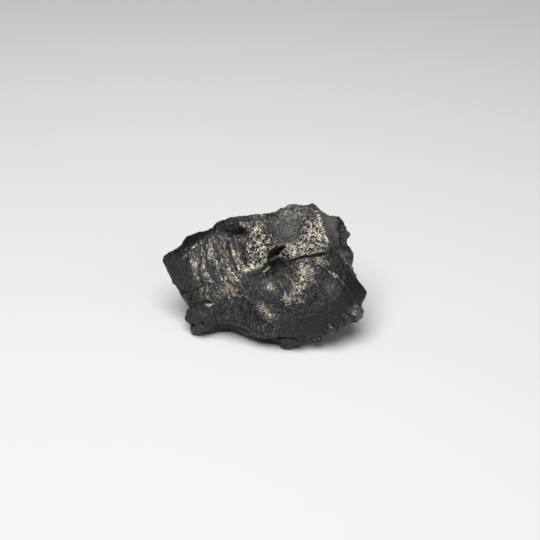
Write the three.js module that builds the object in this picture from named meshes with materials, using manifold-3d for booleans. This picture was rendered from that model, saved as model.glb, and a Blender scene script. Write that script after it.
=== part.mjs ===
// An iron meteorite fragment: one lump of nickel-iron, torn and thumbprinted by its fall, that
// rests on three worn points. Millimetres, +Z up, origin on the ground under the middle of its box.

import * as THREE from "three";
import { ConvexHull } from "three/addons/math/ConvexHull.js";
import { mergeVertices } from "three/addons/utils/BufferGeometryUtils.js";
import Module from "manifold-3d";

// Driving dimensions. Landmarks below are in hundredths of LENGTH.
const LENGTH = 45; // millimetres, from the left tip to the right knuckle
const FACE_LEAN = 58; // degrees from lying flat, the tilt of the plane that the broad face is measured on
const FEET_WORN = 1.2; // hundredths, how much of each foot's point is worn flat
const GROUND_SPAN = 300; // hundredths, the block that stands for the ground under the stone
const CORE = [2, 34, 21]; // a point deep inside, which sees every landmark
const ROUNDS = 2; // rounds of subdivision from the cage to the skin
const TOE_DETAIL = 3; // splits of an icosahedron's edge in a toe
const FITTING_STEPS = 12; // corrections that bring the skin back onto its landmarks

const UNIT = LENGTH / 100;
const X_AXIS = new THREE.Vector3(1, 0, 0);
const LEAN = THREE.MathUtils.degToRad(FACE_LEAN);

// A landmark on the broad face: right, up the face and out of it.
const face = (right, up, out) => new THREE.Vector3(right, up, out).applyAxisAngle(X_AXIS, LEAN);
// A landmark on the back or the underside: right, away from the broad face and above the ground.
const stand = (right, away, height) => new THREE.Vector3(right, away, height);

// Sharp lines, each a run of landmarks along a crest.
const topEdge = [
  face(-50.8, 45.8, -18),
  face(-44, 50.5, -18),
  face(-38.5, 57, -17),
  face(-28.5, 59.5, -14),
  face(-24, 63.5, -13),
  face(-17, 66, -12),
  face(-7, 67, -10),
  face(3, 68, -9),
  face(13, 72, -8),
  face(20.5, 72, -8),
  face(25, 72.5, -8),
];
const rightRidge = [
  topEdge.at(-1),
  face(28.5, 64.5, -3),
  face(31.5, 56.5, 0.5),
  face(34, 51, 1.5),
  face(38, 47, 0),
  face(42.5, 41, -3),
  face(47, 33.5, -5.5),
  face(50.7, 27.8, -5),
];
const stepEdge = [
  face(-10.5, 38.5, 3),
  face(-4, 40.5, 4),
  face(1, 44, 4.5),
  face(6, 48.5, 4),
  face(11.5, 51, 3),
];
const crackEdge = [face(13.5, 46, 4), face(19.5, 45.5, 4.5), face(25.5, 47, 4.5), face(32, 48, 3.5)];
const lip = [
  face(46.4, 15.2, -0.5),
  face(43.5, 13.8, 1.5),
  face(36, 10, 3),
  face(30.5, 8, 3),
  face(24, 5.5, 3.5),
  face(18, 4, 4),
  face(10.5, 5, 3.5),
  face(3, 6, 2.5),
  face(-4, 6, 0),
  face(-10, 8.5, -3),
  face(-16, 11, -5),
  face(-23, 12, -7),
];

const flankEdge = [
  face(-40.5, 51, -12.5),
  face(-38, 46, -9.5),
  face(-36.5, 40, -7.5),
  face(-34.5, 33.5, -6.2),
  face(-33.5, 28.5, -6),
];
const spine = [
  stand(-42, 42, 22),
  stand(-30, 52, 24),
  stand(-10, 58, 26),
  stand(10, 60, 24),
  stand(28, 55, 22),
  stand(40, 44, 16),
];

// Soft landmarks, by region.
const leftFlank = [
  face(-49.9, 41.5, -18),
  face(-47.6, 36, -17),
  face(-43.5, 41.5, -13),
  face(-40.5, 34, -11),
  face(-40.7, 28.8, -14),
  face(-41.4, 26.6, -15),
  face(-39, 25.3, -11),
  face(-35.5, 24.8, -8.5),
  face(-38, 21, -15),
  face(-35.5, 21.2, -9.8),
];
const lobe = [
  face(-39.3, 15.6, -11),
  face(-34.5, 18, -6.8),
  face(-37.4, 11.6, -13),
  face(-36.4, 7.2, -11.5),
  face(-32, 14, -4),
  face(-30.5, 20.5, -4.5),
  face(-30.5, 9, -7),
  face(-25, 16, -3.5),
];
const plateau = [
  face(-29.5, 52, -8),
  face(-28, 42, -4),
  face(-26, 32, -2),
  face(-19.5, 58.5, -8.5),
  face(-18, 49.5, -4),
  face(-17, 39.5, 0),
  face(-19, 28.5, 1),
  face(-13.5, 60.5, -10),
  face(-7, 59.5, -4),
  face(-7, 49.5, 0.5),
];
const shoulder = [
  face(3, 58.5, -3),
  face(13, 63.5, -4),
  face(14, 58.5, -1.4),
  face(10.5, 54.5, 1),
  face(24, 63.5, -2),
  face(25, 54.5, 2.5),
  face(18, 51.5, 2.5),
];
const hollow = [
  face(8, 42.5, 0.5),
  face(10, 37, 1),
  face(3, 36, 2.5),
  face(3.5, 31, 6.5),
  face(-4, 31, 4),
  face(9, 30, 4),
  face(16, 42.5, 4.5),
  face(17.5, 36.5, 6),
  face(15, 29, 7),
  face(12, 23, 7.2),
];
const belly = [
  face(24, 40.5, 4),
  face(22, 32.5, 6.5),
  face(30.5, 39.5, 2.5),
  face(33, 32, 4),
  face(40.5, 33, 0.5),
  face(40.5, 24.5, 3),
  face(33, 22, 6),
  face(24, 22, 7.5),
  face(24, 13.5, 6.5),
  face(33, 14.5, 5),
  face(14, 17, 7.5),
  face(13, 9.5, 6),
  face(-1, 22, 6.5),
  face(5.5, 17, 7),
  face(3, 10.5, 5),
  face(-8, 22, 4),
  face(-7, 14.5, 3.5),
  face(-16, 20.5, 1),
  face(-16, 15.5, -1),
  face(-9.5, 30.5, 3.5),
];
const rightRim = [
  face(33.1, 66.6, -14),
  face(38, 66.7, -18),
  face(42, 61.6, -18),
  face(43.6, 57.4, -17.5),
  face(41.8, 53.3, -16),
  face(44, 49.6, -13.5),
  face(44.5, 45.4, -12),
  face(44, 41, -10),
  face(31.5, 63, -9),
  face(35, 58, -12.5),
  face(38.3, 59.5, -17),
  face(38.3, 52.5, -14),
  face(40.9, 58.8, -14.5),
  face(41.3, 48.5, -10.5),
  face(37.3, 49.5, -8),
  face(48.4, 24.2, -3),
  face(48, 20.4, -2),
  face(48.2, 17.8, -1.5),
  face(46, 26, -8),
  face(44.5, 17, -6),
];
const back = [
  stand(-38, 46, 30),
  stand(-20, 48, 40),
  stand(0, 52, 40),
  stand(20, 52, 42),
  stand(35, 47, 36),
  stand(43, 40, 25),
  stand(-34, 38, 10),
  stand(-22, 48, 9),
  stand(-4, 54, 8),
  stand(14, 54, 7),
  stand(30, 46, 8),
  stand(38, 30, 10),
];
const sole = [
  stand(-34, 13.5, -FEET_WORN),
  stand(-30, 16, -FEET_WORN),
  stand(14, 4, 2.5),
  stand(-1, 5.5, 0.6),
  stand(-10.5, 13.5, 0.6),
  stand(-18, 15.5, 0.8),
  stand(-30, 27, 2),
  stand(-12, 34, 2.5),
  stand(8, 28, 3),
  stand(16, 44, -FEET_WORN),
  stand(20, 46, -FEET_WORN),
  stand(24, 24, 4),
  stand(32, 14, 6),
  stand(0, 16, 1.5),
];

// Toes: two lumps under the lip that make the front foot, each with its middle and its half-sizes.
const toes = [
  [stand(11.5, 3, 3.2), [4.6, 3.4, 4.4]],
  [stand(15.2, 4, 3.6), [3.6, 3.2, 4.4]],
];

// Thumbprints: shallow scoops, each with a point on the skin, its radius and its depth.
const thumbprints = [
  [stand(-18, 54, 30), 13, 2.6],
  [stand(8, 58, 30), 12, 2.4],
  [stand(28, 53, 32), 11, 2.2],
  [stand(-8, 56, 14), 11, 2.2],
  [stand(18, 57, 14), 10, 2],
  [stand(-34, 46, 17), 10, 2],
  [stand(38, 40, 22), 9, 2],
  [stand(40, 26, 14), 8, 1.6],
  [stand(-14, 26, 2), 12, 2.5],
  [stand(20, 30, 3), 11, 2],
];

const crests = [topEdge, rightRidge, stepEdge, crackEdge, lip, flankEdge, spine];
const landmarks = [
  ...new Set([...crests, leftFlank, lobe, plateau, shoulder, hollow, belly, rightRim, back, sole].flat()),
];

const edgeKey = (a, b) => (a < b ? `${a}_${b}` : `${b}_${a}`);

// The cage joins the landmarks as the hull of their directions from the core joins them.
function makeCage() {
  const core = new THREE.Vector3(...CORE);
  const directions = landmarks.map((point) => point.clone().sub(core).normalize());
  const hull = new ConvexHull().setFromPoints(directions);
  const faces = hull.faces.map(({ edge }) =>
    [edge.tail(), edge.head(), edge.next.head()].map((vertex) => directions.indexOf(vertex.point)),
  );
  const creases = new Set();
  for (const crest of crests)
    for (let i = 1; i < crest.length; i++)
      creases.add(edgeKey(landmarks.indexOf(crest[i - 1]), landmarks.indexOf(crest[i])));
  return { faces, creases };
}

// One round of Loop subdivision. A crest keeps its edge: its points are averaged only along it.
function subdivide({ points, faces, creases }) {
  const edges = new Map();
  const around = points.map(() => []);
  const along = points.map(() => []);
  for (const [a, b, c] of faces)
    for (const [from, to, opposite] of [
      [a, b, c],
      [b, c, a],
      [c, a, b],
    ]) {
      const key = edgeKey(from, to);
      if (!edges.has(key)) {
        edges.set(key, { from, to, opposites: [], index: points.length + edges.size });
        around[from].push(to);
        around[to].push(from);
        if (creases.has(key)) {
          along[from].push(to);
          along[to].push(from);
        }
      }
      edges.get(key).opposites.push(opposite);
    }

  const sum = (indices) => indices.reduce((total, i) => total.add(points[i]), new THREE.Vector3());
  const moved = points.map((point, i) => {
    if (along[i].length > 2) return point.clone();
    if (along[i].length === 2)
      return point.clone().multiplyScalar(3 / 4).addScaledVector(sum(along[i]), 1 / 8);
    const count = around[i].length;
    const share = count === 3 ? 3 / 16 : 3 / (8 * count);
    return point.clone().multiplyScalar(1 - count * share).addScaledVector(sum(around[i]), share);
  });
  const newCreases = new Set();
  for (const [key, { from, to, opposites, index }] of edges) {
    const ends = sum([from, to]);
    if (creases.has(key)) {
      moved.push(ends.multiplyScalar(1 / 2));
      newCreases.add(edgeKey(from, index)).add(edgeKey(index, to));
    } else moved.push(ends.multiplyScalar(3 / 8).addScaledVector(sum(opposites), 1 / 8));
  }
  const newFaces = faces.flatMap(([a, b, c]) => {
    const [ab, bc, ca] = [edgeKey(a, b), edgeKey(b, c), edgeKey(c, a)].map((key) => edges.get(key).index);
    return [
      [a, ab, ca],
      [ab, b, bc],
      [ca, bc, c],
      [ab, bc, ca],
    ];
  });
  return { points: moved, faces: newFaces, creases: newCreases };
}

// The skin: the cage, subdivided, with its corners pushed until the skin passes through the landmarks.
function makeSkin() {
  const cage = makeCage();
  const corners = landmarks.map((point) => point.clone());
  let skin;
  for (let step = 0; step <= FITTING_STEPS; step++) {
    skin = { points: corners, ...cage };
    for (let round = 0; round < ROUNDS; round++) skin = subdivide(skin);
    corners.forEach((corner, i) => corner.add(landmarks[i]).sub(skin.points[i]));
  }
  return skin;
}

// Scoops the thumbprints out of a skin, towards the core.
function scoop(points) {
  const core = new THREE.Vector3(...CORE);
  for (const point of points) {
    const inward = core.clone().sub(point).normalize();
    let depth = 0;
    for (const [middle, radius, deepest] of thumbprints)
      depth = Math.max(depth, deepest * (1 - (point.distanceTo(middle) / radius) ** 2));
    point.addScaledVector(inward, depth);
  }
}

function geometryOf({ points, faces }) {
  return new THREE.BufferGeometry()
    .setAttribute("position", new THREE.Float32BufferAttribute(points.flatMap((point) => point.toArray()), 3))
    .setIndex(faces.flat());
}

const wasm = await Module();
wasm.setup();

function toSolid(geometry) {
  const bare = geometry.clone();
  bare.deleteAttribute("normal");
  bare.deleteAttribute("uv");
  const merged = mergeVertices(bare);
  return new wasm.Manifold(
    new wasm.Mesh({
      numProp: 3,
      vertProperties: merged.attributes.position.array,
      triVerts: new Uint32Array(merged.index.array),
    }),
  );
}

function toGeometry(solid) {
  const { vertProperties, triVerts } = solid.getMesh();
  return new THREE.BufferGeometry()
    .setAttribute("position", new THREE.BufferAttribute(vertProperties, 3))
    .setIndex(new THREE.BufferAttribute(triVerts, 1));
}

// The stone, with the points of its feet worn off level with the ground.
function makeStone() {
  const skin = makeSkin();
  scoop(skin.points);
  let solid = toSolid(geometryOf(skin));
  for (const [middle, halves] of toes) {
    const lump = new THREE.IcosahedronGeometry(1, TOE_DETAIL).scale(...halves);
    solid = solid.add(toSolid(lump.translate(...middle)));
  }
  const ground = new THREE.BoxGeometry(GROUND_SPAN, GROUND_SPAN, GROUND_SPAN);
  solid = solid.subtract(toSolid(ground.translate(0, 0, -GROUND_SPAN / 2)));
  const stone = toGeometry(solid);
  stone.computeBoundingBox();
  const middle = stone.boundingBox.getCenter(new THREE.Vector3());
  stone.translate(-middle.x, -middle.y, 0);
  return stone.scale(UNIT, UNIT, UNIT);
}

const meteorite = new THREE.Mesh(
  makeStone(),
  new THREE.MeshStandardMaterial({ color: 0x3d3b3a, roughness: 0.45, metalness: 0.85 }),
);
meteorite.name = "meteorite";

const group = new THREE.Group();
group.add(meteorite);

export default group;
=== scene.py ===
"""The looks of an iron meteorite fragment: a worn, pitted lump of nickel-iron on a pale studio floor."""

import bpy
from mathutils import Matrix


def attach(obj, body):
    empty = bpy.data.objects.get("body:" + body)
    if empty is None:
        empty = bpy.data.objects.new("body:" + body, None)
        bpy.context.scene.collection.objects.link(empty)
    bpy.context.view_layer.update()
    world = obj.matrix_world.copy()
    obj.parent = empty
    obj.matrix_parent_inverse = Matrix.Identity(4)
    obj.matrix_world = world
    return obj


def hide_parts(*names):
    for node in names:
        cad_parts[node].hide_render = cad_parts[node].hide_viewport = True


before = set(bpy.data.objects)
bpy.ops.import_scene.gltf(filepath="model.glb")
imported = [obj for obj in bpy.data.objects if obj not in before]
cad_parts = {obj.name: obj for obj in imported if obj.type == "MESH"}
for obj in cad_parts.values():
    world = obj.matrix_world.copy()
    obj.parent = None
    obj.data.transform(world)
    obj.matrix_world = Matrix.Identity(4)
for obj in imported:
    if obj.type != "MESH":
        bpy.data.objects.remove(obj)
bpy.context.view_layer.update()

import logging
import math
from dataclasses import dataclass, field
from enum import Enum
from typing import Any

import bmesh
import bpy
import numpy as np
from mathutils import Matrix, Vector, noise

log = logging.getLogger("meteorite")

NODE = "meteorite"
BODY = "root"
MM = 0.001

# Places of a Mix node's sockets, whose names repeat: factor, two numbers, two colours, the colour output.
FACTOR = 0
NUMBER_A, NUMBER_B = 2, 3
COLOUR_A, COLOUR_B = 6, 7
COLOUR_OUT = 2

# Steps in the noise between the fields of two seeds, for swells and for spots, and between spots' tilts.
SWELL_STEP = np.array([17.31, 5.77, 29.13])
SPOT_STEP = np.array([11.7, 23.9, 7.3])
TILT_STEP = 9

Pixel = tuple[float, float]
Span = tuple[float, float]


def linear(colour: str) -> tuple[float, float, float, float]:
    """Turns an sRGB hex colour into linear values.

    Args:
        colour: Six hex digits, such as "c8b9a0".

    Returns:
        Linear red, green, blue and an alpha of one.
    """
    channels = [int(colour[i:i + 2], 16) / 255 for i in (0, 2, 4)]
    curve = [c / 12.92 if c <= 0.04045 else ((c + 0.055) / 1.055) ** 2.4 for c in channels]
    return (*curve, 1.0)


def add_node(tree: bpy.types.NodeTree, kind: str, settings: dict[str, Any] | None = None,
             inputs: dict[str | int, Any] | None = None) -> bpy.types.Node:
    """Adds one node with its settings, and sets or links its inputs.

    Args:
        tree: The node tree that gets the node.
        kind: The node's type name in Blender.
        settings: Properties of the node, by name.
        inputs: Values, or output sockets to link, by the input's name or place.

    Returns:
        The new node.
    """
    node = tree.nodes.new(kind)
    for name, value in (settings or {}).items():
        setattr(node, name, value)
    for key, value in (inputs or {}).items():
        if isinstance(value, bpy.types.NodeSocket):
            tree.links.new(value, node.inputs[key])
        else:
            node.inputs[key].default_value = value
    return node


def smooth_step(low: float, high: float, values: np.ndarray) -> np.ndarray:
    """Rises smoothly from 0 at low to 1 at high."""
    t = np.clip((values - low) / (high - low), 0.0, 1.0)
    return t * t * (3 - 2 * t)


@dataclass(frozen=True)
class Forms:
    """Forms drawn from a field of noise: their width, the field's seed, and how far they rise.

    The height is in millimetres for relief, in pixels for bends, and a share for wear.
    """

    size_mm: float
    seed: int
    height: float = 1.0

    def swells(self, points: np.ndarray, octaves: int = 1) -> np.ndarray:
        """Smooth noise through space.

        Args:
            points: Places, one row each, in millimetres.
            octaves: How many copies are added up, each half as wide and high as the last.

        Returns:
            About -1 to 1 for each point.
        """
        places = points / self.size_mm + self.seed * SWELL_STEP
        if octaves == 1:
            return np.array([noise.noise(p) for p in places])
        return np.array([noise.fractal(p, 1.0, 2.0, octaves) for p in places])

    def spots(self, points: np.ndarray) -> tuple[np.ndarray, np.ndarray]:
        """Scatters spots through space and finds the nearest one to each point.

        Args:
            points: Places, one row each, in millimetres.

        Returns:
            The distance to the nearest spot, in sizes, and the lie of a chip that is tilted its own way at
            each spot, about -0.5 to 0.5.
        """
        places = points / self.size_mm + self.seed * SPOT_STEP
        found = [noise.voronoi(p) for p in places]
        near = np.array([distances[0] for distances, _ in found])
        middles = np.array([spot[0] for _, spot in found])
        tilts = 2 * np.array([noise.cell_vector(TILT_STEP * middle) for middle in middles]) - 1
        return near, ((places - middles) * tilts).sum(axis=1)


@dataclass(frozen=True)
class PhotoView:
    """The photograph's viewpoint. It places the camera, and turns points on the stone into pixels."""

    frame_px: int = 540
    lens_mm: float = 85.0
    sensor_mm: float = 36.0
    elevation_deg: float = 32.0
    mm_per_px: float = 0.225
    aim_mm: tuple[float, float, float] = (1.407, 0.833, 12.34)
    nearest_m: float = 0.01

    @property
    def focal_px(self) -> float:
        """The lens's focal length in pixels."""
        return self.frame_px * self.lens_mm / self.sensor_mm

    @property
    def distance_mm(self) -> float:
        """How far the camera stands from the point it aims at."""
        return self.focal_px * self.mm_per_px

    @property
    def axes(self) -> tuple[np.ndarray, np.ndarray, np.ndarray]:
        """The picture's right and up, and the way out of it towards the camera."""
        lift = math.radians(self.elevation_deg)
        up = np.array([0.0, math.sin(lift), math.cos(lift)])
        out = np.array([0.0, -math.cos(lift), math.sin(lift)])
        return np.array([1.0, 0.0, 0.0]), up, out

    def pixels(self, points: np.ndarray) -> np.ndarray:
        """Finds where points fall in the photograph.

        Args:
            points: Places in millimetres, one row each.

        Returns:
            A pixel column and row for each point.
        """
        right, up, out = self.axes
        offset = points - np.array(self.aim_mm)
        scale = self.focal_px / (self.distance_mm - offset @ out)
        middle = self.frame_px / 2
        return np.stack([middle + scale * (offset @ right), middle - scale * (offset @ up)], axis=1)

    def place(self, pixel: Pixel, out_mm: float) -> np.ndarray:
        """Finds the point behind a pixel, at a distance from the aim point towards the camera.

        Args:
            pixel: A pixel column and row.
            out_mm: How far the point stands out of the picture's plane.

        Returns:
            The point, in millimetres.
        """
        right, up, out = self.axes
        scale = (self.distance_mm - out_mm) / self.focal_px
        middle = self.frame_px / 2
        flat = right * (pixel[0] - middle) * scale + up * (middle - pixel[1]) * scale
        return np.array(self.aim_mm) + flat + out * out_mm

    def make_camera(self) -> None:
        """Makes the camera at the photograph's viewpoint and puts it in use."""
        data = bpy.data.cameras.new("photo_camera")
        data.lens = self.lens_mm
        data.sensor_width = self.sensor_mm
        data.clip_start = self.nearest_m
        camera = bpy.data.objects.new("photo_camera", data)
        out = self.axes[2]
        camera.location = Vector(np.array(self.aim_mm) + out * self.distance_mm) * MM
        camera.rotation_euler = (math.radians(90 - self.elevation_deg), 0.0, 0.0)
        bpy.context.scene.collection.objects.link(camera)
        bpy.context.scene.camera = camera


@dataclass(frozen=True)
class Patch:
    """An oval of the broad face, in the photograph's pixels."""

    middle: Pixel
    halves: Pixel
    amount: float
    turn_deg: float = 0.0

    def cover(self, pixels: np.ndarray) -> np.ndarray:
        """How much of the patch each pixel has, from its amount in the middle to nothing outside."""
        turn = math.radians(self.turn_deg)
        offset = pixels - np.array(self.middle)
        along = (offset[:, 0] * math.cos(turn) + offset[:, 1] * math.sin(turn)) / self.halves[0]
        across = (offset[:, 1] * math.cos(turn) - offset[:, 0] * math.sin(turn)) / self.halves[1]
        return self.amount * np.exp(-(along ** 2 + across ** 2))


def joined(patches: tuple[Patch, ...], pixels: np.ndarray) -> np.ndarray:
    """Joins patches so that overlapping ones don't pass one."""
    bare = np.ones(len(pixels))
    for patch in patches:
        bare *= 1 - np.clip(patch.cover(pixels), 0.0, 1.0)
    return 1 - bare


class Profile(Enum):
    """The section of a stroke across its line."""

    RIDGE = "a raised or sunken line"
    CUT = "a steep-sided cut, widest in the middle"
    STEP = "a ledge, raised or sunken on the left of the way the line runs"


@dataclass(frozen=True)
class Stroke:
    """A line across the broad face, in the photograph's pixels, that stands out of it or is cut into it.

    A ledge fades out over its reach. A line is rubbed bare by the amount given for it, partly as wear and
    partly as a painted highlight, or kept black as painted shade if that amount is negative.
    """

    points: tuple[Pixel, ...]
    width_px: float
    height_mm: float
    profile: Profile = Profile.RIDGE
    reach_px: float = 12.0
    rub_and_shade: float = 0.0
    end_share: float = 0.15
    wall_px: float = 0.7

    def near(self, pixels: np.ndarray) -> tuple[np.ndarray, np.ndarray]:
        """Measures pixels against the line.

        Args:
            pixels: Pixel columns and rows.

        Returns:
            The distance to the line, positive on its left, and how far along it from 0 to 1.
        """
        line = np.array(self.points)
        best = np.full(len(pixels), np.inf)
        signed = np.zeros(len(pixels))
        share = np.zeros(len(pixels))
        for i, (start, end) in enumerate(zip(line[:-1], line[1:])):
            way = end - start
            offset = pixels - start
            t = np.clip(offset @ way / (way @ way), 0.0, 1.0)
            gap = offset - t[:, None] * way
            distance = np.hypot(gap[:, 0], gap[:, 1])
            side = np.sign(way[1] * offset[:, 0] - way[0] * offset[:, 1])
            closer = distance < best
            best = np.where(closer, distance, best)
            signed = np.where(closer, distance * side, signed)
            share = np.where(closer, (i + t) / (len(line) - 1), share)
        return signed, share

    def taper(self, share: np.ndarray) -> np.ndarray:
        """Fades both ends of the line, by how far along it a pixel is."""
        return smooth_step(0.0, self.end_share, share) * smooth_step(0.0, self.end_share, 1 - share)

    def breadth(self, signed: np.ndarray, share: np.ndarray) -> np.ndarray:
        """How much of the line's full height each pixel has across it.

        Args:
            signed: The distance to the line, in pixels.
            share: How far along the line, from 0 to 1.

        Returns:
            One on the line to nothing beside it.
        """
        if self.profile is Profile.CUT:
            inside = self.width_px * np.sin(np.pi * share) - np.abs(signed)
            return smooth_step(-self.wall_px, self.wall_px, inside)
        return np.exp(-((signed / self.width_px) ** 2))

    def height(self, pixels: np.ndarray) -> np.ndarray:
        """The stroke's height at each pixel, in millimetres, fading at both ends."""
        signed, share = self.near(pixels)
        if self.profile is not Profile.STEP:
            return self.height_mm * self.taper(share) * self.breadth(signed, share)
        rise = smooth_step(-self.width_px, self.width_px, signed)
        fall = np.exp(-np.clip(signed, 0.0, None) / self.reach_px)
        return self.height_mm * self.taper(share) * rise * fall

    def rubbing_and_shade(self, pixels: np.ndarray) -> np.ndarray:
        """How much the line is rubbed bare at each pixel, partly as a painted highlight, or kept black as
        painted shade if less than nothing.
        """
        signed, share = self.near(pixels)
        return self.rub_and_shade * self.taper(share) * self.breadth(signed, share)


@dataclass(frozen=True)
class Bead:
    """A melted drop on the lip, by its pixel, how far it stands towards the camera, and its radius."""

    pixel: Pixel
    out_mm: float
    radius_mm: float


@dataclass(frozen=True)
class BroadFace:
    """What the broad face shows, as ovals and lines in the photograph's pixels.

    A patch's amount is a share, but for the mounds, where it is a height in millimetres.
    """

    # Partly real wear and partly painted highlight: rubbed patches bare the bright metal where the broad
    # face catches the soft box.
    rubbed_and_highlight: tuple[Patch, ...] = (
        # The right shoulder.
        Patch((315, 238), (14, 17), 0.92),
        Patch((316, 226), (9, 8), 0.8),
        Patch((325, 236), (3, 14), 0.6, -20),
        # The top edge and the grey hollow under it.
        Patch((296, 211), (22, 7), 0.4),
        Patch((290, 218), (14, 4), 0.35),
        Patch((288, 230), (11, 9), 0.3),
        # The ground above the crack.
        Patch((293, 249), (15, 8), 0.85),
        Patch((300, 243), (6, 6), 0.6),
        Patch((287, 254.5), (6, 4), 0.7),
        # The middle of the face, up to the rim of the top black hollow, where the bared metal is a painted
        # highlight.
        Patch((258, 253), (18, 13), 0.7),
        Patch((263, 241), (14, 7), 0.6),
        Patch((255, 231), (7, 5), 1.0),
        Patch((244, 225), (6, 2.2), 1.0, 10),
        Patch((264, 220), (13, 8), 0.5),
        # The streaked plateau.
        Patch((224, 260), (26, 28), 0.43),
        Patch((206, 260), (10, 20), 0.25),
        Patch((236, 260), (3.5, 14), 0.8, -24),
        Patch((249, 268), (12, 4), 0.9, -12),
        Patch((229, 277), (9, 6), 0.72),
        # The plateau's left edge and the glints beside it.
        Patch((194.5, 270), (4, 12), 0.85, -8),
        Patch((194, 246.5), (4, 1.8), 0.75, -30),
        Patch((186, 256), (5, 1.8), 0.6, -48),
        # The plateau's top, below the black hollow.
        Patch((225, 237), (5, 4), 0.6),
        # The ground under the crack.
        Patch((306, 272), (12, 12), 0.88, -20),
        Patch((302, 285), (8, 6), 0.85, -30),
        Patch((325, 262), (8, 4), 0.8, 20),
        # The bump in the hollow, and the strands beside it.
        Patch((271, 286), (9, 8), 0.5),
        Patch((296, 293), (6, 7), 0.8),
        Patch((287, 300), (5, 5), 0.95, 40),
        Patch((300, 302), (5, 2.5), 0.7),
        # The tan streak on the belly.
        Patch((265, 310), (13, 4.5), 0.78, 42),
        # The plateau's lower edge and the block above the lobe.
        Patch((225, 291), (9, 6), 0.78),
        Patch((211, 304), (4, 3), 0.8),
        Patch((203, 290), (6, 2.5), 0.5, -32),
        Patch((238, 294), (14, 9), 0.37),
        Patch((212, 294), (13, 9), 0.37),
        # The right flank and the belly.
        Patch((331, 289), (8, 6), 0.4),
        Patch((325, 316), (6, 4), 0.2),
        Patch((266, 329), (24, 9), 0.2),
        Patch((224, 312), (18, 12), 0.16),
    )
    # Painted shade: near-black patches where the hollows, the grooves, the facets turned from the light and
    # the undercuts lie in shade.
    painted_shade: tuple[Patch, ...] = (
        # The top black hollow and a pit on the top edge.
        Patch((234, 230), (15, 5.5), 1.0, 10),
        Patch((270, 215), (6, 5), 0.8),
        # The hollow under the step.
        Patch((281, 267), (6, 4), 0.5, -22),
        Patch((273, 265), (9, 4), 0.6, -30),
        # The left facet and the top left edge.
        Patch((175, 272), (12, 22), 0.3, -33),
        Patch((194, 238), (26, 5), 0.9, -34),
        Patch((220, 223), (14, 4), 0.9, -22),
        # The grooves by the right facet.
        Patch((334, 252), (4, 7), 0.9, -30),
        Patch((341, 236), (3, 13), 0.9, -5),
        # The belly and the undercut below it.
        Patch((250, 305), (10, 14), 0.4),
        Patch((229, 331), (16, 3.5), 0.9, 3),
        Patch((268, 343), (15, 4), 0.9, 5),
    )
    # Partly a thin grey film and partly a painted sheen, on the facets, the grey hollow, the bump and the
    # drops.
    grey_and_sheen: tuple[Patch, ...] = (
        # The grey hollow and the facets.
        Patch((288, 230), (13, 10), 0.75),
        Patch((331, 226), (8, 20), 1.0, -15),
        Patch((176, 270), (12, 20), 0.15, -33),
        # The plateau, the top edge and the plateau's left edge.
        Patch((224, 260), (32, 30), 0.34),
        Patch((294, 213), (20, 9), 0.8),
        Patch((266, 219), (16, 8), 0.3),
        Patch((195, 269), (4, 13), 0.5, -8),
        # The lobe, a groove in the middle, and the right flank.
        Patch((198, 315), (12, 12), 0.12),
        Patch((243, 252), (3, 10), 0.35, -15),
        Patch((330, 287), (9, 8), 0.15),
        # The knobs by the right facet.
        Patch((347, 234), (3, 5), 0.55),
        Patch((347, 255), (3, 4), 0.55),
        # The hollow, its bump, the tan streak and the ground under the crack.
        Patch((287, 278), (8, 9), 0.35),
        Patch((270, 286), (9, 7), 0.6),
        Patch((265, 310), (13, 5), 0.6, 42),
        Patch((299, 275), (14, 14), 0.35),
        # The drops on the lip.
        Patch((357, 312), (5, 6), 0.65),
        Patch((347, 319), (4, 3), 0.3),
        Patch((332, 330), (7, 4), 0.3, -25),
        Patch((317, 340), (5, 3), 0.25),
    )
    glassy: tuple[Patch, ...] = (
        # The knobs by the right facet, then the drops on the lip.
        Patch((347, 234), (4, 6), 1.0),
        Patch((347, 255), (4, 6), 1.0),
        Patch((357, 312), (6, 7), 1.0),
        Patch((347, 319), (4, 3), 1.0),
        Patch((332, 330), (8, 5), 1.0, -25),
        Patch((317, 340), (6, 4), 1.0),
    )
    smooth: tuple[Patch, ...] = (
        # The left facet, the right facet, the grey hollow and the lobe.
        Patch((176, 272), (13, 22), 0.62, -33),
        Patch((330, 227), (7, 18), 0.5, -14),
        Patch((288, 230), (11, 8), 0.25),
        Patch((198, 315), (10, 10), 0.4),
        # The top black hollow and the one under the step.
        Patch((235, 230), (14, 5), 0.45, 10),
        Patch((279, 265), (10, 5), 0.35, -25),
        # The drops and the lip.
        Patch((357, 312), (5, 6), 0.9),
        Patch((332, 330), (8, 5), 0.95, -25),
        Patch((317, 340), (7, 4), 0.95),
        Patch((347, 319), (5, 4), 0.95),
        Patch((306, 342), (14, 3.5), 0.7, -18),
        Patch((343, 325), (10, 3.5), 0.7, -35),
        # The top left edge and the bump in the hollow.
        Patch((195, 236), (32, 5), 0.6, -32),
        Patch((270, 285), (8, 6), 0.3),
        # The belly's right, the right flank and the undercuts.
        Patch((340, 308), (18, 18), 0.6, -20),
        Patch((314, 326), (20, 10), 0.5, -15),
        Patch((355, 288), (12, 12), 0.6),
        Patch((229, 331), (16, 4), 0.7, 3),
        Patch((268, 343), (15, 4), 0.7, 5),
    )
    grainy: tuple[Patch, ...] = (
        # The plateau, the middle, the shoulder and the ground under the crack.
        Patch((222, 262), (40, 36), 1.0),
        Patch((262, 245), (30, 26), 1.0),
        Patch((310, 232), (26, 28), 1.0),
        Patch((304, 278), (20, 20), 0.9),
        # The bump, the tan streak, the plateau's lower edge, the belly and the strands.
        Patch((270, 286), (14, 12), 0.9),
        Patch((266, 312), (16, 10), 0.9, 40),
        Patch((226, 300), (30, 22), 0.8),
        Patch((266, 332), (26, 12), 0.7),
        Patch((288, 297), (16, 12), 0.8),
    )
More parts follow.
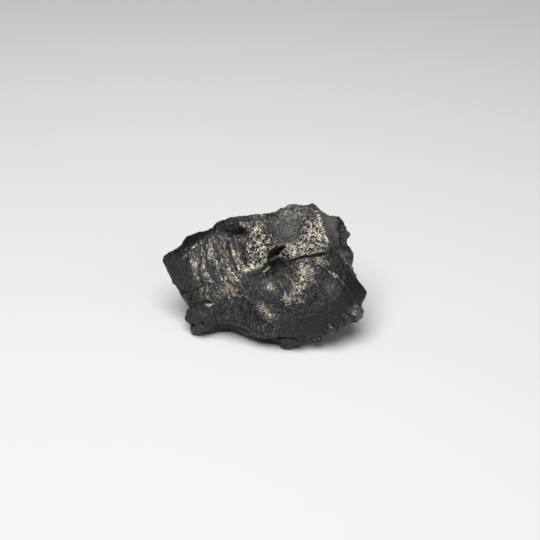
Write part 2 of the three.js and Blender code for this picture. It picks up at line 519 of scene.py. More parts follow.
    pitted: tuple[Patch, ...] = (
        # The shoulder, the middle, the ground under the crack, the plateau and the top edge.
        Patch((314, 236), (20, 20), 0.9),
        Patch((262, 248), (26, 20), 1.0),
        Patch((300, 280), (16, 22), 0.7),
        Patch((225, 262), (32, 32), 0.35),
        Patch((280, 213), (44, 9), 1.0),
    )
    streaked: Patch = Patch((222, 260), (36, 36), 1.0)
    strokes: tuple[Stroke, ...] = (
        # The diagonal step, its edge rubbed partly as wear and partly as painted highlight, and the slit
        # above its hollow, kept black as painted shade.
        Stroke(((240, 275), (252, 271), (262, 267), (272, 257), (287, 247)), 1.2, 0.6, Profile.STEP, 9,
               rub_and_shade=0.2),
        Stroke(((266, 261.5), (273, 254), (279, 250), (287, 246)), 3.9, -1.0, Profile.CUT, rub_and_shade=-1.0),
        # Strands in the hollow, their rubbed tops partly wear and partly painted highlight.
        Stroke(((262, 272), (266, 269.5), (271, 266)), 1.1, 0.25, rub_and_shade=0.6),
        Stroke(((267, 288), (270, 291), (274, 289)), 1.3, 0.2, rub_and_shade=0.5),
        Stroke(((283, 296), (287, 300), (291, 305)), 1.6, 0.3, rub_and_shade=0.6),
        # The crack, kept black as painted shade.
        Stroke(((287, 262), (298, 259), (304, 257), (312, 256), (320, 255.5), (330, 252)), 1.2, -0.5,
               rub_and_shade=-0.6),
        # The right shoulder's edge, the right ridge and the scratches under it, rubbed bright partly as wear
        # and partly as painted highlight.
        Stroke(((316, 209), (319, 218), (325, 233), (330, 248)), 1.4, 0.3, rub_and_shade=0.5),
        Stroke(((330, 237), (337, 249), (344, 260), (350, 269), (358, 282)), 0.9, 0.45, rub_and_shade=0.42),
        Stroke(((320, 264), (330, 272), (338, 280)), 0.9, 0.3, rub_and_shade=0.45),
        Stroke(((331, 271), (338, 278), (346, 286)), 0.9, 0.3, rub_and_shade=0.45),
        Stroke(((316, 265), (322, 268), (329, 272)), 1.4, -0.3),
        # More strands in the hollow, rubbed partly as wear and partly as painted highlight.
        Stroke(((284, 274), (289, 278), (294, 283), (298, 289)), 1.1, 0.2, rub_and_shade=0.6),
        Stroke(((256, 280), (265, 275), (276, 267)), 1.1, 0.22, rub_and_shade=0.2),
        Stroke(((275, 279), (281, 285), (284, 293), (287, 301)), 1.2, 0.25, rub_and_shade=0.3),
        Stroke(((263, 292), (270, 284), (279, 281)), 1.1, 0.18, rub_and_shade=0.2),
        # The plateau's left edge, its grooves, kept black as painted shade, and its bright streak, partly a
        # painted highlight.
        Stroke(((186, 250), (190, 262), (195, 278), (199, 293)), 1.5, 0.35, Profile.STEP, 8),
        Stroke(((194, 258), (195, 268), (197, 280)), 3.0, 0.12, rub_and_shade=0.1),
        Stroke(((199, 252), (199.5, 264), (200, 276), (203, 287)), 1.3, -0.4, rub_and_shade=-0.4),
        Stroke(((203, 241), (206, 255), (208, 264), (210, 275)), 1.0, -0.3, rub_and_shade=-0.3),
        Stroke(((210, 258), (212, 271), (215, 283)), 2.0, -0.25, rub_and_shade=-0.25),
        Stroke(((215, 240), (218, 254), (221, 270), (225, 282)), 1.1, -0.35, rub_and_shade=-0.35),
        Stroke(((226, 238), (229, 250), (232, 262), (238, 273)), 1.3, -0.5, rub_and_shade=-0.5),
        Stroke(((230, 247), (234, 259), (240, 269), (244, 273)), 2.0, 0.35, rub_and_shade=0.8),
        Stroke(((238, 240), (242, 252), (246, 264)), 2.4, -0.45, rub_and_shade=-0.6),
        # Glints on the left.
        Stroke(((182, 260), (186, 256), (189, 252.5)), 1.0, 0.25, rub_and_shade=0.5),
        Stroke(((191, 249), (194, 246.5), (198, 244.5)), 1.0, 0.25, rub_and_shade=0.6),
        # The top black hollow, cut and kept black as painted shade, and its bright rim, a painted highlight.
        Stroke(((220, 226), (227, 227.5), (236, 228), (245, 228.5)), 2.6, -0.18, Profile.CUT, rub_and_shade=-0.45),
        Stroke(((225, 229), (234, 231.5), (242, 231.5), (251, 235)), 2.9, -0.18, Profile.CUT, rub_and_shade=-0.45),
        Stroke(((238, 223.5), (244, 225), (251, 228)), 2.0, 0.1, rub_and_shade=1.5),
        # The notches round the block and the lobe.
        Stroke(((180, 291), (187, 292), (193, 291), (199, 288), (205, 286)), 1.1, -0.5),
        Stroke(((192, 292), (190, 299), (192, 306)), 1.1, -0.5),
        Stroke(((182, 308.5), (190, 307), (198, 303), (206, 301), (213, 304)), 1.4, -0.55),
        Stroke(((212, 302), (214, 315), (219, 328)), 1.8, -0.25),
        Stroke(((180, 323), (187, 324), (191, 324.5), (196, 325.5)), 1.3, -1.1),
        Stroke(((196, 328), (204, 329), (213, 327)), 1.2, 0.25),
        # The groove by the right facet.
        Stroke(((340, 221), (340.5, 232), (342, 246)), 2.0, -0.45),
        # The undercuts from the lobe to the lip.
        Stroke(((252, 334), (243, 328), (232, 324.5), (222, 324), (213, 327)), 1.0, -0.8, Profile.STEP, 8),
        Stroke(((331, 334), (318, 336), (306, 340), (299, 341)), 0.9, -0.7, Profile.STEP, 8),
        Stroke(((282, 338), (270, 339), (258, 338), (247, 333)), 0.9, -1.0, Profile.STEP, 8),
        Stroke(((275, 339), (287, 338.5), (300, 341)), 1.2, -0.7),
    )
    mounds: tuple[Patch, ...] = (
        # The bump, the tan streak, the block, the ground under the crack and the strands.
        Patch((271, 286), (8, 6), 0.35),
        Patch((266, 311), (13, 4.5), 0.3, 42),
        Patch((210, 305), (3.5, 3), 0.4),
        Patch((306, 272), (10, 10), 0.25),
        Patch((291, 298), (11, 6), 0.45, 30),
        # The hollows: the top black one, under the step, on the belly, the grey one.
        Patch((235, 229), (13, 5), -0.25, 10),
        Patch((277, 268), (12, 7), -0.2, -25),
        Patch((252, 296), (10, 14), -0.35),
        Patch((289, 231), (12, 8), -0.45),
        # Dents in the lobe, along the crack and in the middle of the face.
        Patch((200, 323), (2.8, 2.6), -0.8),
        Patch((333, 252), (3.5, 5), -0.5),
        Patch((316, 256), (4.5, 2.2), -0.4),
        Patch((251, 270), (1.8, 1.5), -0.35),
        Patch((242, 247), (2.2, 4), -0.35),
    )
    beads: tuple[Bead, ...] = (
        Bead((314.5, 340), 6.1, 0.8),
        Bead((318.5, 339), 6.4, 0.95),
        Bead((327.5, 333), 7.1, 0.75),
        Bead((331.5, 329), 7.4, 0.95),
        Bead((336.5, 330), 7.0, 0.75),
        Bead((347, 318.5), 6.8, 0.95),
        Bead((357.5, 308), 5.2, 1.0),
        Bead((359, 312), 5.0, 0.95),
        Bead((355.5, 315.5), 5.7, 1.05),
    )


class Mark(Enum):
    """What the stone's points tell the finish, each from 0 to 1, by the attribute's name."""

    WORN_AND_HIGHLIGHT = "worn_and_highlight"
    PIT = "pit"
    HOLLOW_SHADE = "hollow_shade"
    FLOW = "flow"
    ROUGH = "rough"
    GREY_AND_SHEEN = "grey_and_sheen"
    GLASS = "glass"
    DARK = "painted_shade"


DRIFT = "drift"
Marks = dict[Mark, bpy.types.NodeSocket]


@dataclass(frozen=True)
class NickelIron:
    """Nickel-iron with a black oxide skin, rubbed bare on its high grains.

    The oxide is a satin near-black, painted darker and colder in the hollows as painted shade, and greyer in
    patches, partly a thin film and partly a painted sheen on the facets and drops. Where hands have rubbed
    it away the metal shows as small warm bright grains between dark pits; the rubbed patches are partly real
    wear and partly painted highlight, and patches of painted shade are made a near-black metal.
    """

    oxide: str = "0b0d12"
    hollow_shade: str = "07090e"
    film_and_sheen: str = "6c6b65"
    bare_light: str = "cac4b5"
    bare_warm: str = "ada18a"
    bare_dark: str = "49494c"
    oxide_roughness: float = 0.27
    smooth_roughness: float = 0.55
    bare_roughness: float = 0.4
    glass_roughness: float = 0.09
    oxide_specular: float = 0.55
    # Finer grain than this would not show in the render, so it is drawn about 1.3 photo pixels wide.
    grain_mm: float = 0.3
    grain_octaves: float = 1.0
    grain_fineness: float = 0.35
    grain_height_mm: float = 0.54
    rubbed_flat: float = 0.4
    tint_mm: float = 1.6
    tint_octaves: float = 3.0
    # Levels of grain above which the metal shows, where the skin is covered and where it is rubbed.
    covered_level: float = 0.68
    rubbed_level: float = 0.33
    # Levels from there to bare metal and to its full shine, and the shine where it starts.
    grain_edge: float = 0.08
    grain_top: float = 0.25
    edge_shine: float = 0.3
    # Wear over which the metal turns from dark to bright, and roughness of relief over which oxide shines.
    polish_worn: Span = (0.2, 0.8)
    dull_rough: Span = (0.1, 0.7)
    pit_depth: float = 0.45

    def material(self) -> bpy.types.Material:
        """Makes the finish from the marks on the stone's points and a grain that wears from its tops."""
        material = bpy.data.materials.new("nickel_iron_black_oxide")
        material.use_nodes = True
        tree = material.node_tree
        tree.nodes.clear()
        marks: Marks = {}
        for mark in Mark:
            reader = add_node(tree, "ShaderNodeAttribute", {"attribute_name": mark.value})
            marks[mark] = reader.outputs["Fac"]
        level = self.grain_level(tree, marks)
        start = add_node(tree, "ShaderNodeMapRange", inputs={
            "Value": marks[Mark.WORN_AND_HIGHLIGHT], "To Min": self.covered_level, "To Max": self.rubbed_level})
        above = add_node(tree, "ShaderNodeMath", {"operation": "SUBTRACT"}, {0: level, 1: start.outputs[0]})
        bare = add_node(tree, "ShaderNodeMapRange", {"interpolation_type": "SMOOTHSTEP"}, {
            "Value": above.outputs[0], "From Max": self.grain_edge})
        # Painted shade: the shaded hollows, grooves and undercuts are made a near-black metal, which
        # reflects in its own near-black, so they stay black under the soft box.
        metal_and_painted_shade = add_node(tree, "ShaderNodeMath", {"operation": "MAXIMUM"}, {
            0: bare.outputs[0], 1: marks[Mark.DARK]})
        shader = add_node(tree, "ShaderNodeBsdfPrincipled", inputs={
            "Base Color": self.skin_colour(tree, marks, above.outputs[0], bare.outputs[0]),
            "Metallic": metal_and_painted_shade.outputs[0],
            "Roughness": self.skin_gloss(tree, marks, bare.outputs[0]),
            "Specular IOR Level": self.oxide_specular,
            "Normal": self.grain_relief(tree, marks, level)})
        add_node(tree, "ShaderNodeOutputMaterial", inputs={"Surface": shader.outputs["BSDF"]})
        return material

    def grain_level(self, tree: bpy.types.NodeTree, marks: Marks) -> bpy.types.NodeSocket:
        """Adds the grain, even on most of the skin and drawn out along the melt streaks, less its pits.

        Args:
            tree: The material's nodes.
            marks: The stone's marks.

        Returns:
            The grain's level, up to about 1 on its tops.
        """
        place = add_node(tree, "ShaderNodeTexCoord")
        drift = add_node(tree, "ShaderNodeAttribute", {"attribute_name": DRIFT})
        even = add_node(tree, "ShaderNodeTexNoise", inputs={
            "Vector": place.outputs["Object"], "Scale": 1 / (self.grain_mm * MM),
            "Detail": self.grain_octaves, "Roughness": self.grain_fineness})
        drawn = add_node(tree, "ShaderNodeTexNoise", inputs={
            "Vector": drift.outputs["Vector"], "Scale": 1 / self.grain_mm,
            "Detail": self.grain_octaves, "Roughness": self.grain_fineness})
        grain = add_node(tree, "ShaderNodeMix", {"data_type": "FLOAT"}, {
            FACTOR: marks[Mark.FLOW], NUMBER_A: even.outputs["Fac"], NUMBER_B: drawn.outputs["Fac"]})
        level = add_node(tree, "ShaderNodeMath", {"operation": "MULTIPLY_ADD"}, {
            0: marks[Mark.PIT], 1: -self.pit_depth, 2: grain.outputs[0]})
        return level.outputs[0]

    def skin_colour(self, tree: bpy.types.NodeTree, marks: Marks, above: bpy.types.NodeSocket,
                    bare: bpy.types.NodeSocket) -> bpy.types.NodeSocket:
        """Adds the colours of the oxide, its painted shade in the hollows, its grey film and painted sheen,
        and the bare metal.

        Args:
            tree: The material's nodes.
            marks: The stone's marks.
            above: How far the grain stands above the level it is worn to.
            bare: Where the metal shows.

        Returns:
            The skin's colour.
        """
        place = add_node(tree, "ShaderNodeTexCoord")
        tint = add_node(tree, "ShaderNodeTexNoise", inputs={
            "Vector": place.outputs["Object"], "Scale": 1 / (self.tint_mm * MM),
            "Detail": self.tint_octaves})
        bright = add_node(tree, "ShaderNodeMix", {"data_type": "RGBA"}, {
            FACTOR: tint.outputs["Fac"], COLOUR_A: linear(self.bare_light),
            COLOUR_B: linear(self.bare_warm)})
        top = add_node(tree, "ShaderNodeMapRange", inputs={
            "Value": above, "From Max": self.grain_top, "To Min": self.edge_shine})
        polish = add_node(tree, "ShaderNodeMapRange", {"interpolation_type": "SMOOTHSTEP"}, {
            "Value": marks[Mark.WORN_AND_HIGHLIGHT], "From Min": self.polish_worn[0], "From Max": self.polish_worn[1],
            "To Max": top.outputs[0]})
        metal = add_node(tree, "ShaderNodeMix", {"data_type": "RGBA"}, {
            FACTOR: polish.outputs[0], COLOUR_A: linear(self.bare_dark),
            COLOUR_B: bright.outputs[COLOUR_OUT]})
        # Painted shade: the oxide turns darker and colder in the hollows.
        skin = add_node(tree, "ShaderNodeMix", {"data_type": "RGBA"}, {
            FACTOR: marks[Mark.HOLLOW_SHADE], COLOUR_A: linear(self.oxide), COLOUR_B: linear(self.hollow_shade)})
        thin = add_node(tree, "ShaderNodeMix", {"data_type": "RGBA"}, {
            FACTOR: marks[Mark.GREY_AND_SHEEN], COLOUR_A: skin.outputs[COLOUR_OUT], COLOUR_B: linear(self.film_and_sheen)})
        colour = add_node(tree, "ShaderNodeMix", {"data_type": "RGBA"}, {
            FACTOR: bare, COLOUR_A: thin.outputs[COLOUR_OUT], COLOUR_B: metal.outputs[COLOUR_OUT]})
        return colour.outputs[COLOUR_OUT]

    def skin_gloss(self, tree: bpy.types.NodeTree, marks: Marks,
                   bare: bpy.types.NodeSocket) -> bpy.types.NodeSocket:
        """Adds the gloss: dull on smooth oxide, satin on rough oxide and on metal, wet on melted drops.

        Args:
            tree: The material's nodes.
            marks: The stone's marks.
            bare: Where the metal shows.

        Returns:
            The skin's roughness.
        """
        dull = add_node(tree, "ShaderNodeMapRange", inputs={
            "Value": marks[Mark.ROUGH], "From Min": self.dull_rough[0], "From Max": self.dull_rough[1],
            "To Min": self.smooth_roughness, "To Max": self.oxide_roughness})
        satin = add_node(tree, "ShaderNodeMix", {"data_type": "FLOAT"}, {
            FACTOR: bare, NUMBER_A: dull.outputs[0], NUMBER_B: self.bare_roughness})
        gloss = add_node(tree, "ShaderNodeMix", {"data_type": "FLOAT"}, {
            FACTOR: marks[Mark.GLASS], NUMBER_A: satin.outputs[0], NUMBER_B: self.glass_roughness})
        return gloss.outputs[0]

    def grain_relief(self, tree: bpy.types.NodeTree, marks: Marks,
                     level: bpy.types.NodeSocket) -> bpy.types.NodeSocket:
        """Adds the grain's own relief, flatter where it is rubbed.

        Args:
            tree: The material's nodes.
            marks: The stone's marks.
            level: The grain's level.

        Returns:
            The skin's normal.
        """
        flat = add_node(tree, "ShaderNodeMapRange", inputs={
            "Value": marks[Mark.WORN_AND_HIGHLIGHT], "To Min": 1.0, "To Max": self.rubbed_flat})
        depth = add_node(tree, "ShaderNodeMath", {"operation": "MULTIPLY"}, {
            0: flat.outputs[0], 1: marks[Mark.ROUGH]})
        height = add_node(tree, "ShaderNodeMath", {"operation": "MULTIPLY"}, {
            0: level, 1: depth.outputs[0]})
        bump = add_node(tree, "ShaderNodeBump", inputs={
            "Height": height.outputs[0], "Strength": 1.0, "Distance": self.grain_height_mm * MM})
        return bump.outputs["Normal"]


@dataclass(frozen=True)
class MatteCard:
    """White card with a matte face: an even pale ground that hardly shines."""

    colour: str = "eeeeec"
    roughness: float = 0.8
    specular: float = 0.2

    def material(self) -> bpy.types.Material:
        """Makes the card's finish."""
        material = bpy.data.materials.new("matte_white_card")
        material.use_nodes = True
        shader = material.node_tree.nodes["Principled BSDF"]
        shader.inputs["Base Color"].default_value = linear(self.colour)
        shader.inputs["Roughness"].default_value = self.roughness
        shader.inputs["Specular IOR Level"].default_value = self.specular
        return material


@dataclass(frozen=True)
class MeltFlow:
    """Melt streaks that fan steeply down the left of the broad face, in the photograph's pixels."""

    # The column from which the streaks lean to the right on their way down, and the columns to full lean.
    fan_from_px: float = 180.0
    fan_span_px: float = 55.0
    # The row that the lean turns about, columns of full lean for each row, and the lean's limits.
    middle_row_px: float = 255.0
    lean: float = 0.6
    lean_limits: Span = (0.15, 1.1)
    bend: Forms = Forms(3.0, 14, 2.0)
    # How much narrower and how many times longer the streaks are than their forms.
    packing: float = 1.2
    stretch: float = 3.0
    streak: Forms = Forms(1.5, 13, 0.36)
    streak_octaves: int = 3
    groove: float = 0.12

    def places(self, view: PhotoView, pixels: np.ndarray, points: np.ndarray) -> np.ndarray:
        """Lays points out along the streaks.

        Args:
            view: The photograph's viewpoint.
            pixels: The points' pixels.
            points: The points, in millimetres.

        Returns:
            Places across, along and out of the streaks, in millimetres, drawn out along them.
        """
        fan = np.clip((pixels[:, 0] - self.fan_from_px) / self.fan_span_px, *self.lean_limits)
        bent = pixels[:, 0] + self.bend.height * self.bend.swells(points)
        across = bent - self.lean * fan * (pixels[:, 1] - self.middle_row_px)
        across = across * view.mm_per_px * self.packing
        along = pixels[:, 1] * view.mm_per_px / self.stretch
        return np.stack([across, along, points @ view.axes[2]], axis=1)

    def heights(self, view: PhotoView, pixels: np.ndarray, points: np.ndarray) -> np.ndarray:
        """The streaks' heights at the points, about -1 in grooves to 1 on ridges."""
        flat = self.places(view, pixels, points) * np.array([1.0, 1.0, 0.0])
        swell = self.streak.swells(flat, self.streak_octaves)
        return swell - np.exp(-((swell / self.groove) ** 2))


@dataclass(frozen=True)
class WearAndLight:
    """How far hands and weather have rubbed the skin, from 0 where it is covered to 1 where it is bare; on
    the broad face this is partly painted highlight, and lines kept black give painted shade.
    """

    # The broad face: everywhere, on crests, in rubbed patches, which are partly painted highlight, and on
    # the streaks' ridges, less where smooth.
    everywhere: float = 0.04
    crests: float = 0.34
    rubbed_and_highlight: float = 0.85
    rubbed_crests: float = 0.3
    streaks: float = 0.12
    smooth_spared: float = 0.8
    # Rubbed lines, partly painted highlight, in patches.
    line_mean: float = 0.9
    line_patches: Forms = Forms(2.0, 15, 1.2)
    # The sides and back, in patches.
    side_mean: float = 0.25
    side_patches: Forms = Forms(5.0, 11, 0.5)
    side_most: float = 0.8
    side_flats: float = 0.75
    side_crests: float = 0.5

    def face(self, crest: np.ndarray, rubbed_and_highlight: np.ndarray, swell: np.ndarray,
             smooth: np.ndarray) -> np.ndarray:
        """The wear of the broad face.

        Args:
            crest: How far each point stands out of its surroundings, from 0 to 1.
            rubbed_and_highlight: How much the rubbed patches, partly painted highlight, cover it.
            swell: The melt streaks' heights.
            smooth: How smooth its skin is.

        Returns:
            The wear at each point.
        """
        share = self.everywhere + self.crests * crest ** 2 * (1 - rubbed_and_highlight)
        share = share + rubbed_and_highlight * (self.rubbed_and_highlight + self.rubbed_crests * crest) + self.streaks * swell
        return share * (1 - self.smooth_spared * smooth)

    def lines(self, points: np.ndarray, rubbing_and_shade: np.ndarray) -> np.ndarray:
        """Breaks rubbed lines, partly painted highlight, into patches, and leaves the ones kept black as
        painted shade whole.
        """
        patchy = self.line_mean + self.line_patches.height * self.line_patches.swells(points)
        return np.where(rubbing_and_shade > 0, rubbing_and_shade * patchy, rubbing_and_shade)

    def sides(self, points: np.ndarray, crest: np.ndarray) -> np.ndarray:
        """The wear of the sides and back, in patches, more on their crests."""
        share = self.side_mean + self.side_patches.height * self.side_patches.swells(points, 2)
        return np.clip(share, 0.0, self.side_most) * (self.side_flats + self.side_crests * crest)


@dataclass
class Survey:
    """What the broad face's patches and streaks give each point of the skin, before any relief is cut.

    The loose and tight pixels are shaken a lot and a little, so that marks get ragged edges. The others are
    shares from 0 to 1, but for the swell, which is the melt streaks' height.
    """

    pixels: np.ndarray
    loose: np.ndarray
    tight: np.ndarray
    front: np.ndarray
    rim: np.ndarray
    smooth: np.ndarray
    rough: np.ndarray
    rubbed_and_highlight: np.ndarray
    streaked: np.ndarray
    swell: np.ndarray


@dataclass
class Stone:
    """The whole lump: the CAD solid, remeshed fine, sculpted, marked with wear, painted highlight and
    painted shade, and dressed.
    """

    view: PhotoView
    face: BroadFace
    finish: NickelIron
    flow: MeltFlow
    wear_and_light: WearAndLight
    voxel_mm: float = 0.22
    bead_cuts: int = 3
    # Rounds of averaging: over facets, over the face's rim, and for wide and close bulges.
    rounding_rounds: int = 4
    rim_rounds: int = 80
    wide_rounds: int = 50
    close_rounds: int = 8
    broad: Forms = Forms(6.0, 1, 0.25)
    thumbprint: Forms = Forms(7.5, 3, 1.3)
    crumple: Forms = Forms(2.2, 4, 0.3)
    pit: Forms = Forms(0.8, 5, 0.16)
    chip: Forms = Forms(2.0, 6, 0.25)
    flake: Forms = Forms(1.0, 7, 0.12)
    wobbles: tuple[Forms, Forms] = (Forms(1.8, 21), Forms(1.8, 22))
    # How far the loose and the tight pixels are shaken.
    loose_px: float = 2.2
    tight_px: float = 0.8
    # Cosines towards the camera over which a point comes to be on the broad face, and on its rim.
    front_facing: Span = (0.05, 0.3)
    rim_facing: Span = (-0.5, -0.1)
    # How much of the broad face lies close by, over which the scoops on the sides fade out.
    inland: Span = (0.0, 0.3)
    # Distances from the middle, in sizes, over which a scoop or a pit rises to its edge.
    thumbprint_span: Span = (0.05, 0.7)
    pit_span: Span = (0.2, 0.45)
    # Heights above the ground over which the relief sets in, and depths over which a hollow is painted
    # darker as shade.
    feet_mm: Span = (0.1, 1.0)
    hollow_mm: Span = (0.0, 0.25)
    # Shares of grain, pits and broad swells on plain ground, and how much rubbing smooths.
    plain_grain: float = 0.7
    back_grain: float = 0.5
    back_pits: float = 0.4
    face_broad: float = 0.4
    rub_smooths: float = 0.65
    # How a point's bulges make it a crest.
    crest_level: float = 0.5
    crest_wide_per_mm: float = 3.0
    crest_close_per_mm: float = 10.0
    # How much the streaks vary the grey film and sheen, and how black the painted shade gets.
    film_streaks: float = 0.5
    painted_shade_strength: float = 0.86
    points: np.ndarray = field(init=False)
    normals: np.ndarray = field(init=False)

    def build(self) -> bpy.types.Object:
        """Makes the stone's object from the CAD solid.

        Returns:
            The finished piece, riding on its body in place of the CAD node.
        """
        piece = self.remesh()
        mesh = piece.data
        self.read(mesh)
        self.soften(mesh)
        survey = self.survey()
        self.sculpt(mesh, survey)
        wide = self.bulge(mesh, self.wide_rounds)
        close = self.bulge(mesh, self.close_rounds)
        crest = self.crest_level + self.crest_wide_per_mm * wide + self.crest_close_per_mm * close
        pit = self.cut_pits(mesh, survey)
        self.mark(mesh, survey, np.clip(crest, 0.0, 1.0), smooth_step(*self.hollow_mm, -wide), pit)
        mesh.materials.clear()
        mesh.materials.append(self.finish.material())
        mesh.shade_smooth()
        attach(piece, BODY)
        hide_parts(NODE)
        return piece

    def remesh(self) -> bpy.types.Object:
        """Joins a copy of the CAD solid with the beads, and remeshes them as one even skin."""
        blank = bmesh.new()
        blank.from_mesh(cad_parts[NODE].data)
        for bead in self.face.beads:
            middle = Vector(self.view.place(bead.pixel, bead.out_mm)) * MM
            bmesh.ops.create_icosphere(blank, subdivisions=self.bead_cuts, radius=bead.radius_mm * MM,
                                       matrix=Matrix.Translation(middle))
        mesh = bpy.data.meshes.new("meteorite_rough")
        blank.to_mesh(mesh)
        blank.free()
        rough = bpy.data.objects.new("meteorite_rough", mesh)
        bpy.context.scene.collection.objects.link(rough)
        remesh = rough.modifiers.new("even", "REMESH")
        remesh.mode = "VOXEL"
        remesh.voxel_size = self.voxel_mm * MM
        graph = bpy.context.evaluated_depsgraph_get()
        skin = bpy.data.meshes.new_from_object(rough.evaluated_get(graph))
        bpy.data.objects.remove(rough)
        piece = bpy.data.objects.new("meteorite_stone", skin)
        bpy.context.scene.collection.objects.link(piece)
        return piece

    def read(self, mesh: bpy.types.Mesh) -> None:
        """Reads the skin's points and normals, in millimetres."""
        count = len(mesh.vertices)
        self.points = np.empty(count * 3)
        mesh.vertices.foreach_get("co", self.points)
        self.points = self.points.reshape(-1, 3) / MM
        self.normals = np.empty(count * 3)
        mesh.vertices.foreach_get("normal", self.normals)
        self.normals = self.normals.reshape(-1, 3)

    def write(self, mesh: bpy.types.Mesh) -> None:
        """Writes the points back to the skin, none below the ground, and reads its new normals."""
        self.points[:, 2] = np.clip(self.points[:, 2], 0.0, None)
        mesh.vertices.foreach_set("co", (self.points * MM).ravel())
        mesh.update()
        self.read(mesh)

    def swell_out(self, mesh: bpy.types.Mesh, heights: np.ndarray) -> None:
        """Moves each point out of the skin by its height in millimetres."""
        self.points = self.points + self.normals * heights[:, None]
        self.write(mesh)

    def averaged(self, mesh: bpy.types.Mesh, values: np.ndarray, rounds: int) -> np.ndarray:
        """Averages values over each point's neighbours, several times.

        Args:
            mesh: The skin, for its edges.
            values: One row or one number for each point.
            rounds: How many times.

        Returns:
            The averaged values.
        """
        edges = np.empty(len(mesh.edges) * 2, dtype=np.int64)
        mesh.edges.foreach_get("vertices", edges)
        a, b = edges.reshape(-1, 2).T
        table = values.reshape(len(values), -1).astype(float)
        count = np.bincount(a, minlength=len(table)) + np.bincount(b, minlength=len(table))
        for _ in range(rounds):
            total = np.stack([
                np.bincount(a, weights=column[b], minlength=len(table))
                + np.bincount(b, weights=column[a], minlength=len(table)) for column in table.T], axis=1)
            table = 0.5 * table + 0.5 * total / count[:, None]
        return table.reshape(values.shape)

    def bulge(self, mesh: bpy.types.Mesh, rounds: int) -> np.ndarray:
        """How far each point stands out of its averaged surroundings, in millimetres."""
        return ((self.points - self.averaged(mesh, self.points, rounds)) * self.normals).sum(axis=1)

    def soften(self, mesh: bpy.types.Mesh) -> None:
        """Rounds the solid's flat facets away."""
        self.points = self.averaged(mesh, self.points, self.rounding_rounds)
        self.write(mesh)

    def survey(self) -> Survey:
        """Works out what the broad face's patches and streaks give each point."""
        pixels = self.view.pixels(self.points)
        facing = self.normals @ self.view.axes[2]
        front = smooth_step(*self.front_facing, facing)
        wobble = np.stack([wobbles.swells(self.points, 2) for wobbles in self.wobbles], axis=1)
        loose = pixels + self.loose_px * wobble
        smooth = joined(self.face.smooth, loose)
        grain = self.plain_grain + (1 - self.plain_grain) * joined(self.face.grainy, loose)
        streaked = self.face.streaked.cover(pixels)
        return Survey(
            pixels=pixels,
            loose=loose,
            tight=pixels + self.tight_px * wobble,
            front=front,
            rim=smooth_step(*self.rim_facing, facing),
            smooth=smooth,
            rough=front * grain * (1 - smooth) + (1 - front) * self.back_grain,
            rubbed_and_highlight=joined(self.face.rubbed_and_highlight, loose) * (1 - joined(self.face.painted_shade, loose)),
            streaked=streaked,
            swell=self.flow.heights(self.view, pixels, self.points) * streaked * front)

    def sculpt(self, mesh: bpy.types.Mesh, survey: Survey) -> None:
        """Cuts the relief, from broad swells to ledges, cracks and chips.

        Args:
            mesh: The skin.
            survey: What the broad face gives its points.
        """
        handled = survey.front * np.maximum(survey.rubbed_and_highlight, survey.streaked)
        broken = survey.rough * (1 - self.rub_smooths * handled)
        uneven = self.face_broad + (1 - self.face_broad) * (1 - survey.front)
        folds = 1 - 2 * np.abs(self.crumple.swells(self.points, 2))
        relief = self.broad.height * self.broad.swells(self.points, 2) * uneven
        relief += self.crumple.height * folds * broken
        for chips in (self.chip, self.flake):
            relief += chips.height * chips.spots(self.points)[1] * broken
        relief += self.thumbprints(mesh, survey.front)
        relief += sum(stroke.height(survey.tight) for stroke in self.face.strokes) * survey.rim
        relief += sum(mound.cover(survey.loose) for mound in self.face.mounds) * survey.rim
        relief += self.flow.streak.height * survey.swell
        self.swell_out(mesh, relief * smooth_step(*self.feet_mm, self.points[:, 2]))

    def thumbprints(self, mesh: bpy.types.Mesh, front: np.ndarray) -> np.ndarray:
        """Scoops on the sides and back, which stop short of the broad face's rim.

        Args:
            mesh: The skin.
            front: Which points are on the broad face.

        Returns:
            The scoops' heights at the points, in millimetres, all zero or less.
        """
        near, _ = self.thumbprint.spots(self.points)
        away = 1 - smooth_step(*self.inland, self.averaged(mesh, front, self.rim_rounds))
        return -self.thumbprint.height * (1 - smooth_step(*self.thumbprint_span, near)) * away

    def cut_pits(self, mesh: bpy.types.Mesh, survey: Survey) -> np.ndarray:
        """Cuts the small pits.

        Args:
            mesh: The skin.
            survey: What the broad face gives its points.

        Returns:
            How far each point is in a pit, from 0 to 1.
        """
        near, _ = self.pit.spots(self.points)
        pitted = survey.front * joined(self.face.pitted, survey.loose) + (1 - survey.front) * self.back_pits
        pit = (1 - smooth_step(*self.pit_span, near)) * pitted
        self.swell_out(mesh, -self.pit.height * pit)
        return pit

    def mark(self, mesh: bpy.types.Mesh, survey: Survey, crest: np.ndarray, hollow_shade: np.ndarray,
             pit: np.ndarray) -> None:
        """Stores what the finish reads on the skin's points.

        Args:
            mesh: The skin.
            survey: What the broad face gives its points.
            crest: How far each point stands out of its surroundings, from 0 to 1.
            hollow_shade: How far it lies in a hollow, which is painted darker as shade, from 0 to 1.
            pit: How far it is in a pit, from 0 to 1.
        """
        front = survey.front
        # Rubbed lines bare the metal, partly as wear and partly as painted highlight; lines kept black are
        # painted shade.
        lines = self.wear_and_light.lines(
            self.points, sum(stroke.rubbing_and_shade(survey.tight) for stroke in self.face.strokes))
        face_wear_and_light = self.wear_and_light.face(crest, survey.rubbed_and_highlight, survey.swell, survey.smooth) + lines
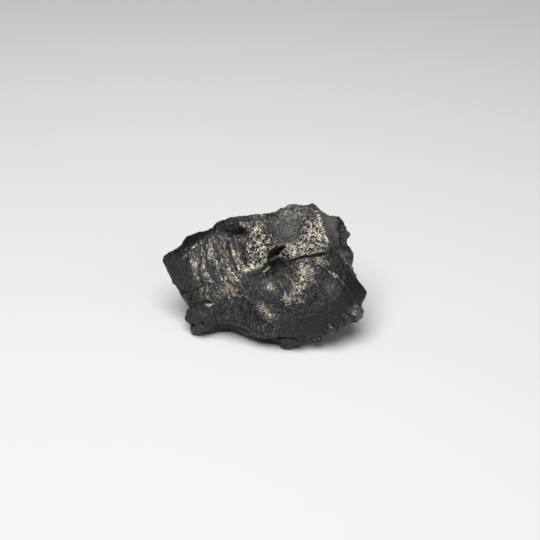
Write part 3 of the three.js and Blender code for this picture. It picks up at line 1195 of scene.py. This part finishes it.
        # Painted shade: the dark patches, and the lines kept black.
        painted_shade_cover = np.clip(joined(self.face.painted_shade, survey.loose) - np.minimum(lines, 0.0), 0.0, 1.0)
        film_and_sheen = joined(self.face.grey_and_sheen, survey.loose) * (1 + self.film_streaks * survey.swell)
        marks = {
            Mark.WORN_AND_HIGHLIGHT: front * face_wear_and_light + (1 - front) * self.wear_and_light.sides(self.points, crest),
            Mark.PIT: pit,
            Mark.HOLLOW_SHADE: hollow_shade,
            Mark.FLOW: survey.streaked * front,
            Mark.ROUGH: survey.rough,
            Mark.GREY_AND_SHEEN: film_and_sheen * front * (1 - pit),
            Mark.GLASS: joined(self.face.glassy, survey.loose) * front,
            Mark.DARK: self.painted_shade_strength * painted_shade_cover * front,
        }
        for mark, values in marks.items():
            attribute = mesh.attributes.new(mark.value, "FLOAT", "POINT")
            attribute.data.foreach_set("value", np.clip(values, 0.0, 1.0).astype(np.float32))
        drift = mesh.attributes.new(DRIFT, "FLOAT_VECTOR", "POINT")
        places = self.flow.places(self.view, survey.pixels, self.points)
        drift.data.foreach_set("vector", places.astype(np.float32).ravel())


@dataclass
class Studio:
    """A pale seamless floor under soft overhead light."""

    card: MatteCard
    floor_m: float = 3.0
    key_at_m: tuple[float, float, float] = (-0.05, -0.1, 0.4)
    key_size_m: float = 0.44
    key_watts: float = 2.0
    fill_at_m: tuple[float, float, float] = (0.4, -0.3, 0.2)
    fill_size_m: float = 0.4
    fill_watts: float = 0.35
    sky_colour: str = "f0f5ff"
    sky: float = 0.11

    def build(self) -> None:
        """Makes the floor, the lights and the sky."""
        self.make_floor()
        self.make_light("soft_box", self.key_at_m, self.key_size_m, self.key_watts)
        self.make_light("fill_card", self.fill_at_m, self.fill_size_m, self.fill_watts)
        self.make_sky()
        bpy.context.scene.view_settings.view_transform = "Standard"

    def make_floor(self) -> None:
        """Lays the floor at the stone's feet."""
        half = self.floor_m / 2
        corners = [(-half, -half, 0), (half, -half, 0), (half, half, 0), (-half, half, 0)]
        mesh = bpy.data.meshes.new("floor")
        mesh.from_pydata(corners, [], [(0, 1, 2, 3)])
        floor = bpy.data.objects.new("floor", mesh)
        bpy.context.scene.collection.objects.link(floor)
        mesh.materials.append(self.card.material())

    def make_light(self, name: str, place_m: tuple[float, float, float], size_m: float,
                   watts: float) -> None:
        """Makes a round soft light that faces the stone.

        Args:
            name: The light's name.
            place_m: Where it hangs.
            size_m: How wide it is.
            watts: How strong it is.
        """
        data = bpy.data.lights.new(name, "AREA")
        data.shape = "DISK"
        data.size = size_m
        data.energy = watts
        light = bpy.data.objects.new(name, data)
        light.location = place_m
        aim = Vector((0, 0, 0)) - light.location
        light.rotation_euler = aim.to_track_quat("-Z", "Y").to_euler()
        bpy.context.scene.collection.objects.link(light)

    def make_sky(self) -> None:
        """Fills the shadows with an even pale sky."""
        world = bpy.data.worlds.new("studio")
        world.use_nodes = True
        background = world.node_tree.nodes["Background"]
        background.inputs["Color"].default_value = linear(self.sky_colour)
        background.inputs["Strength"].default_value = self.sky
        bpy.context.scene.world = world


def main() -> None:
    """Builds the studio and the stone, and reports each piece."""
    logging.basicConfig(level=logging.INFO, format="%(name)s: %(message)s")
    view = PhotoView()
    view.make_camera()
    Studio(MatteCard()).build()
    stone = Stone(view, BroadFace(), NickelIron(), MeltFlow(), WearAndLight()).build()
    stone.data.calc_loop_triangles()
    log.info("%s: %d triangles", stone.name, len(stone.data.loop_triangles))


if __name__ == "__main__":
    main()
